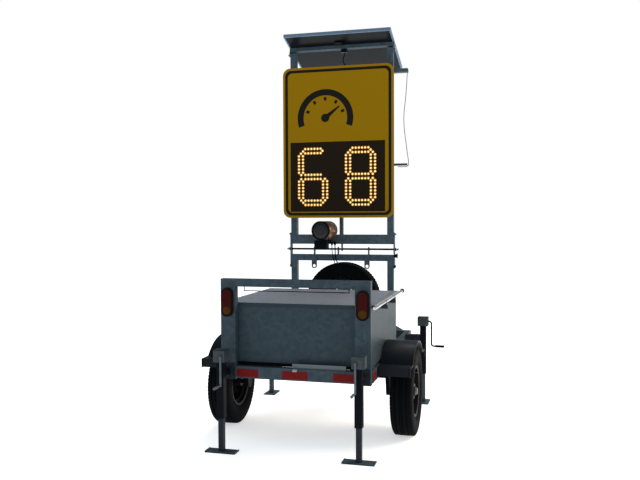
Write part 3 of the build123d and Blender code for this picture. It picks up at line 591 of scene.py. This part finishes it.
def tyre_profile():
    """Tyre section in metres as (across, radius), with rounded ribs on the side walls."""
    r, w, b = WHEEL_RADIUS, TYRE_HALF_WIDTH, BEAD_RADIUS
    side = [(50, b), (60, b), (61, b + 13), (65, b + 20), (71, 200), (72.5, 203), (77, 222), (w, 240),
            (78.5, 258), (w, 262), (78, 266), (75, 282), (75.5, 288), (73, 294), (67, r - 4)]
    crown = [(61, r - 1.5), (43, r - 0.6), (41, r - 7), (35, r - 7), (33, r - 0.3), (13, r), (11, r - 7),
             (5, r - 7)]
    half = side + crown + [(3, r)]
    outer = half + [(-x, y) for x, y in reversed(half)]
    inner = [(-52, b + 20), (-72, 240), (-58, r - 18), (0, r - 13), (58, r - 18), (72, 240), (52, b + 20)]
    return [(x / 1000, y / 1000) for x, y in outer + inner]


def make_tyre(name, centre, axis, body, node):
    """Tyre with grooves round it and notched shoulders."""
    tyre = lathe(name, tyre_profile(), at(*centre), axis, "tyre", body, segments=TREAD_BLOCKS * 3)
    middle, along = at(*centre), Vector(axis)
    count = len(tyre_profile())
    notch_inner, notch_outer = 0.044, 0.0765
    notch_radius, notch_depth = 0.285, 0.007
    for index, vertex in enumerate(tyre.data.vertices):
        offset = vertex.co - middle
        across = abs(offset.dot(along))
        radial = offset - along * offset.dot(along)
        shoulder = notch_inner < across < notch_outer and radial.length > notch_radius
        if shoulder and (index // count) % 3 == 0:
            vertex.co -= radial.normalized() * notch_depth
    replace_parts(tyre, node)


def make_wheel_details(name, centre, axis, body):
    """Hub cap, wheel nuts and valve on the outer face of a rim."""
    middle, along = at(*centre), Vector(axis)
    nuts, nut_circle, nut_seat = 5, 0.046, 0.0362
    mesh = bmesh.new()
    add_cylinder(mesh, middle + along * 0.060, middle + along * 0.074, 0.029, 0.022)
    side = along.orthogonal().normalized()
    for nut in range(nuts):
        spoke = Matrix.Rotation(math.radians(360 / nuts * nut), 3, along) @ side
        add_hex(mesh, middle + along * nut_seat + spoke * nut_circle, along, 0.022, 0.016)
    valve_foot, valve_tip = along * 0.03 + side * 0.150, along * 0.062 + side * 0.152
    add_cylinder(mesh, middle + valve_foot, middle + valve_tip, 0.0045)
    smooth(finish_mesh(name, mesh, "hub", body))


def make_wheels():
    """The two road wheels and the spare."""
    for side, sign in SIDES:
        centre = (sign * AXLE[0], AXLE[1], AXLE[2])
        body = f"wheel_{side}"
        make_tyre(f"tyre_{side}_tread", centre, (sign, 0, 0), body, f"tyre_{side}")
        make_wheel_details(f"wheel_{side}_hub", centre, (sign, 0, 0), body)
    make_tyre("spare_tyre_tread", SPARE, (0, 1, 0), "chassis", "spare_tyre")


# ---------------------------------------------------------------- sign


def rounded_outline(half, low, high, radius, steps=12):
    """Corner-rounded rectangle as (x, z) points in millimetres."""
    points = []
    corners = ((half - radius, high - radius, 0), (radius - half, high - radius, 90),
               (radius - half, low + radius, 180), (half - radius, low + radius, 270))
    for x, z, start in corners:
        for step in range(steps + 1):
            angle = math.radians(start + 90 * step / steps)
            points.append((x + radius * math.cos(angle), z + radius * math.sin(angle)))
    return points


def flat_ring(mesh, outer, inner, y, thickness):
    """Band between two outlines of as many points, standing forward of y by thickness."""
    rows = []
    for outline, depth in ((outer, y), (outer, y - thickness), (inner, y - thickness), (inner, y)):
        rows.append([mesh.verts.new(at(x, depth, z)) for x, z in outline])
    count = len(outer)
    for row, after in zip(rows, rows[1:] + rows[:1]):
        for index in range(count):
            following = (index + 1) % count
            mesh.faces.new((row[index], row[following], after[following], after[index]))


def flat_shape(mesh, outline, y, thickness):
    """Plate with the outline, standing forward of y by thickness."""
    front = [mesh.verts.new(at(x, y - thickness, z)) for x, z in outline]
    back = [mesh.verts.new(at(x, y, z)) for x, z in outline]
    mesh.faces.new(front)
    mesh.faces.new(list(reversed(back)))
    for index in range(len(outline)):
        following = (index + 1) % len(outline)
        mesh.faces.new((front[index], back[index], back[following], front[following]))


def make_border():
    """Black line round the sign's edge."""
    mesh = bmesh.new()
    rows = []
    for inset in (BORDER_INSET, BORDER_INSET + BORDER_WIDTH):
        radius = SIGN_CORNER - inset * BORDER_CORNER_SHRINK
        rows.append(rounded_outline(SIGN_HALF - inset, SIGN_LOW + inset, SIGN_HIGH - inset, radius))
    flat_ring(mesh, *rows, SIGN_FRONT, PRINT_THICKNESS)
    bmesh.ops.recalc_face_normals(mesh, faces=mesh.faces)
    finish_mesh("sign_border", mesh, "print", "mast")


def polar(radius, degrees):
    """Point of the gauge at a radius and an angle from straight right."""
    angle = math.radians(degrees)
    return (GAUGE_CENTRE[0] + radius * math.cos(angle), GAUGE_CENTRE[1] + radius * math.sin(angle))


def make_gauge():
    """Plain speed gauge symbol: an arc, five marks and a needle."""
    mesh = bmesh.new()
    arc = range(GAUGE_START, GAUGE_END + 1, GAUGE_STEP)
    outline = [polar(GAUGE_OUTER, angle) for angle in arc]
    outline += [polar(GAUGE_OUTER - GAUGE_STROKE, angle) for angle in reversed(arc)]
    flat_shape(mesh, outline, SIGN_FRONT, PRINT_THICKNESS)
    for angle in MARK_ANGLES:
        start, end = Vector(polar(MARK_NEAR, angle)), Vector(polar(MARK_FAR, angle))
        across = (end - start).orthogonal().normalized() * MARK_HALF_WIDTH
        outline = [start - across, end - across, end + across, start + across]
        flat_shape(mesh, outline, SIGN_FRONT, PRINT_THICKNESS)
    start, tip = Vector(GAUGE_CENTRE), Vector(polar(NEEDLE_LENGTH, NEEDLE_ANGLE))
    across = (tip - start).orthogonal().normalized()
    foot, point = across * NEEDLE_FOOT, across * NEEDLE_POINT
    needle = [start - foot, tip - point, tip + point, start + foot]
    flat_shape(mesh, needle, SIGN_FRONT, PRINT_THICKNESS + 0.1)
    hub = [polar(NEEDLE_HUB, angle) for angle in range(0, 360, 12)]
    flat_shape(mesh, hub, SIGN_FRONT, PRINT_THICKNESS + 0.2)
    bmesh.ops.recalc_face_normals(mesh, faces=mesh.faces)
    finish_mesh("sign_gauge_symbol", mesh, "print", "mast")


def digit_lamps(eight):
    """Lamp places of an 8, or of a 6 when eight is false, about the digit's centre."""
    places = []
    for z in (-227.5, -192.5, -17.5, 17.5, 192.5, 227.5):
        places += [((column - 2.5) * COLUMN_STEP, z) for column in range(6)]
    for x in (-118.5, -84.5, 84.5, 118.5):
        for middle in (-103, 103):
            if eight or x < 0 or middle < 0:
                places += [(x, middle + (row - 2.5) * ROW_STEP) for row in range(6)]
    for side in (-1, 1):
        for end in (-1, 1):
            if eight or side < 0 or end < 0:
                places += [(side * 83, end * 209), (side * 101, end * 191)]
    if not eight:
        places.append((80, 210))
    return places + [(-100, -17), (-100, 17), (100, -17)] + ([(100, 17)] if eight else [])


def make_digits():
    """The lit lamps of both digits: a bright dome in a coloured rim."""
    squeeze = Matrix.Diagonal((1, LED_SQUEEZE, 1, 1))
    depth = Vector((0, RIM_HALF_DEPTH, 0))
    for name, x, eight in zip(("digit_left", "digit_right"), DIGIT_CENTRES, (False, True)):
        domes, rims = bmesh.new(), bmesh.new()
        for dx, dz in digit_lamps(eight):
            centre = at(x + dx, DISPLAY_FRONT, DIGIT_Z + dz)
            bmesh.ops.create_uvsphere(domes, u_segments=16, v_segments=8, radius=LED_RADIUS / 1000,
                                      matrix=Matrix.Translation(centre) @ squeeze)
            add_cylinder(rims, centre + depth, centre - depth, RIM_RADIUS, segments=20)
        smooth(finish_mesh(name + "_lamps", domes, "lamp", "mast"))
        finish_mesh(name + "_rims", rims, "lamp rim", "mast")


# ---------------------------------------------------------------- radar


def make_radar():
    """Round sensor: bronze shell, black bezel with a recessed lens, turntable."""
    x, y, _ = RADAR_CENTRE
    centre = at(*RADAR_CENTRE)
    along = Matrix.Rotation(math.radians(RADAR_YAW), 3, "Z") @ Vector((0, -1, 0))
    shell = [(0.081, 0.0), (0.081, 0.0735), (0.078, 0.075), (-0.090, 0.075), (-0.093, 0.0735),
             (-0.094, 0.070), (-0.101, 0.070), (-0.104, 0.067), (-0.104, 0.0)]
    body = lathe("radar_shell", shell, centre, along, "bronze", "radar", closed=False)
    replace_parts(body, "radar_head")
    bezel = [(0.080, 0.0757), (0.083, 0.076), (0.100, 0.076), (0.104, 0.073), (0.104, 0.069), (0.098, 0.066),
             (0.080, 0.066)]
    lathe("radar_bezel", bezel, centre, along, "bezel", "radar")
    lens = [(0.082, 0.0), (0.097, 0.0), (0.0965, 0.022), (0.094, 0.024), (0.094, 0.040), (0.0955, 0.042),
            (0.093, 0.0655), (0.082, 0.0655)]
    lathe("radar_lens", lens, centre, along, "radar lens", "radar", closed=False)
    mesh = bmesh.new()
    add_cylinder(mesh, at(x, y, 1340.4), at(x, y, 1362), 0.030)
    add_cylinder(mesh, at(x, y, 1324), at(x, y, 1341), 0.006)
    smooth(finish_mesh("radar_turntable", mesh, "plastic", "radar"))


# ---------------------------------------------------------------- fasteners and trim


def make_fasteners():
    """Bolt heads and nuts on the frame and the mast."""
    bar, fixed, folding, sockets = bmesh.new(), bmesh.new(), bmesh.new(), bmesh.new()
    back, right = Vector((0, -1, 0)), Vector((1, 0, 0))
    for x in (335, 360):
        add_hex(bar, at(x, 0, 1094), back, 0.013, 0.005)
    for side in (-1, 1):
        add_cylinder(sockets, at(side * 490, 0, 500), at(side * 490, -5, 500), 0.013)
        add_hex(folding, at(side * 449, MAST_HINGE_Y, STRAP_PIN_Z), right * side, 0.018, 0.006)
        add_hex(folding, at(side * 447, MAST_HINGE_Y, PANEL_PIVOT_Z), right * side, 0.020, 0.008)
        add_hex(fixed, at(side * 454, MAST_HINGE_Y, MAST_HINGE_Z), right * side, 0.020, 0.007)
    for x in (-172, -102):
        for z in (1318, 1332):
            add_hex(folding, at(x, 1353, z), back, 0.010, 0.004)
    finish_mesh("rest_bar_bolts", bar, "cover", "chassis")
    finish_mesh("frame_bolt_heads", fixed, "bright", "chassis")
    finish_mesh("mast_bolt_heads", folding, "bright", "mast")
    finish_mesh("frame_sockets", sockets, "black", "chassis")


def make_lamp_ribs():
    """Fine upright ribs on the face of each red lens and raised rings on each amber lens."""
    ribs, rings = bmesh.new(), bmesh.new()
    for side in (-1, 1):
        for step in range(9):
            x = side * 459 + (step - 4) * 6
            top = 1045 - abs(step - 4) * 3
            add_block(ribs, at(x - 0.9, -22.8, 945), at(x + 0.9, -21, top))
        centre = at(side * 459, -23, 912)
        for radius, depth in ((0.025, 0.0008), (0.017, 0.0016), (0.009, 0.0024)):
            add_cylinder(rings, centre, centre - Vector((0, depth, 0)), radius)
    finish_mesh("tail_light_ribs", ribs, "red", "chassis")
    smooth(finish_mesh("turn_lens_rings", rings, "amber", "chassis"))


def make_lid_rod_ends():
    """Bright cap on the rear end of the lid's hinge rod and black ball on the front end."""
    x, z = LID_ROD
    mesh = bmesh.new()
    add_cylinder(mesh, at(x, 6, z), at(x, 14.5, z), 0.0102, 0.0112)
    smooth(finish_mesh("lid_rod_cap", mesh, "bright", "chassis"))
    mesh = bmesh.new()
    bmesh.ops.create_uvsphere(mesh, u_segments=32, v_segments=16, radius=0.0175,
                              matrix=Matrix.Translation(at(x, 1182, z)))
    smooth(finish_mesh("lid_rod_ball", mesh, "plastic", "chassis"))


def tube_mesh(name, points, radius):
    """Round tube along straight runs through points in metres."""
    return take_mesh(tube_curve(name + "_route", "POLY", points, radius))


def crank_route():
    """Bent rod of a front crank as (x, z) points in millimetres: shaft, arm and handle."""
    route = [(CRANK_START, CRANK_TOP)]
    steps = 8
    for step in range(steps + 1):
        turn = math.pi / 2 * (1 - step / steps)
        route.append((CRANK_ARM - CRANK_BEND + CRANK_BEND * math.cos(turn),
                      CRANK_TOP - CRANK_BEND + CRANK_BEND * math.sin(turn)))
    for step in range(steps + 1):
        turn = math.pi * (1 + step / steps / 2)
        route.append((CRANK_ARM + CRANK_BEND + CRANK_BEND * math.cos(turn),
                      CRANK_HANDLE + CRANK_BEND + CRANK_BEND * math.sin(turn)))
    return route + [(CRANK_END, CRANK_HANDLE)]


def make_front_cranks():
    """Front cranks as one bent rod each, with a black sleeve over the handle."""
    y = FRONT_JACK[1]
    for side, sign in SIDES:
        body = f"front_crank_{side}"
        mesh = tube_mesh(body, [at(sign * x, y, z) for x, z in crank_route()], CRANK_RADIUS)
        rod = smooth(finish_mesh(f"{body}_rod", mesh, "sheet", body))
        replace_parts(rod, f"jack_front_{side}_crank")
        sleeve = bmesh.new()
        start, end = (at(sign * x, y, CRANK_HANDLE) for x in (GRIP_START, GRIP_END))
        add_cylinder(sleeve, start, end, GRIP_RADIUS)
        smooth(finish_mesh(f"front_{side}_grip", sleeve, "plastic", body))


def make_jack_covers():
    """Zinc covers over the gear heads of the four jacks."""
    for side, sign in SIDES:
        for place, (x, y, (low, high), body) in JACK_HEADS.items():
            mesh = bmesh.new()
            middle = at(sign * x, y, (low + high) / 2)
            half = Vector((COVER_HALF_X, COVER_HALF_Y, (high - low) / 2 + COVER_LIP)) / 1000
            add_soft_block(mesh, middle - half, middle + half, 0.003)
            rides = body.replace("SIDE", side)
            finish_mesh(f"jack_{place}_{side}_cover", mesh, "cover", rides)


def make_rear_gap_shade():
    """Black strip in the seal's rubber finish between the box and the frame's rear rail, as painted shade
    for the shadowed gap.
    """
    mesh = bmesh.new()
    # painted shade: a dark block where the gap under the box is only in shadow
    add_block(mesh, at(-404, 50, 541.5), at(404, 64, 559.5))
    finish_mesh("box_rear_gap_shade", mesh, "seal", "chassis")


def make_lead_boot():
    """Black boot over the gland that the solar lead leaves from."""
    mesh = bmesh.new()
    add_soft_block(mesh, at(3.2, 1344.2, 2873.4), at(52.8, 1369.8, 2903.4), 0.002)
    finish_mesh("solar_lead_boot", mesh, "plastic", "solar_panel")


def fender_edge():
    """Outer edge of a mudguard as (y, z) points: step, arch, step."""
    foot = math.sqrt(FENDER_RADIUS**2 - (FENDER_STEP - AXLE[2]) ** 2)
    start = math.atan2(FENDER_STEP - AXLE[2], foot)
    points = [(AXLE[1] + FENDER_HALF, FENDER_LOW), (AXLE[1] + FENDER_HALF, FENDER_STEP)]
    steps = 32
    for step in range(steps + 1):
        angle = start + (math.pi - 2 * start) * step / steps
        points.append((AXLE[1] + FENDER_RADIUS * math.cos(angle), AXLE[2] + FENDER_RADIUS * math.sin(angle)))
    return points + [(AXLE[1] - FENDER_HALF, FENDER_STEP), (AXLE[1] - FENDER_HALF, FENDER_LOW)]


def make_fender_beads():
    """Rolled bead along the outer edge of each mudguard."""
    for side, sign in SIDES:
        route = [at(sign * (FENDER_OUT - 4), y, z - 3) for y, z in fender_edge()]
        mesh = tube_mesh(f"fender_{side}", route, 0.005)
        smooth(finish_mesh(f"fender_{side}_bead", mesh, "fender", "chassis"))


def make_foot_plates():
    """Zinc upper face and two turned-up edges on each of the four foot plates."""
    for place, (x, y, width, length) in FOOT_PLATES.items():
        for side, sign in SIDES:
            mesh = bmesh.new()
            left, right = sign * x - width / 2, sign * x + width / 2
            rear, front = y - length / 2, y + length / 2
            add_block(mesh, at(left, rear, SHEET_LOW), at(right, front, SHEET_HIGH))
            if place == "rear":
                add_block(mesh, at(left, rear, EDGE_LOW), at(left + EDGE_WIDTH, front, EDGE_HIGH))
                add_block(mesh, at(right - EDGE_WIDTH, rear, EDGE_LOW), at(right, front, EDGE_HIGH))
            else:
                add_block(mesh, at(left, rear, EDGE_LOW), at(right, rear + EDGE_WIDTH, EDGE_HIGH))
                add_block(mesh, at(left, front - EDGE_WIDTH, EDGE_LOW), at(right, front, EDGE_HIGH))
            finish_mesh(f"{place}_{side}_foot_plate", mesh, "mast", f"{place}_leg_{side}")


# ---------------------------------------------------------------- build

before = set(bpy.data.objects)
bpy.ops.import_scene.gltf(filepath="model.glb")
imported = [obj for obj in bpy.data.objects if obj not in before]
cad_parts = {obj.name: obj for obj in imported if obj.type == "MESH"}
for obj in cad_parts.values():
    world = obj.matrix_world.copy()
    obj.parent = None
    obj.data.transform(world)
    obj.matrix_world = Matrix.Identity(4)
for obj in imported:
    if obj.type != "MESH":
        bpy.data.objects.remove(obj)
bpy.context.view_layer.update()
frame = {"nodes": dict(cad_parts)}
MATERIALS = make_materials()
make_camera()
make_stage()
make_cables()
paint_nodes(frame)
make_wheels()
make_border()
make_gauge()
make_digits()
make_radar()
make_fasteners()
make_lamp_ribs()
make_lid_rod_ends()
make_front_cranks()
make_foot_plates()
make_jack_covers()
# dark strip of painted shade under the box's rear edge
make_rear_gap_shade()
make_lead_boot()
make_fender_beads()

bpy.context.view_layer.update()
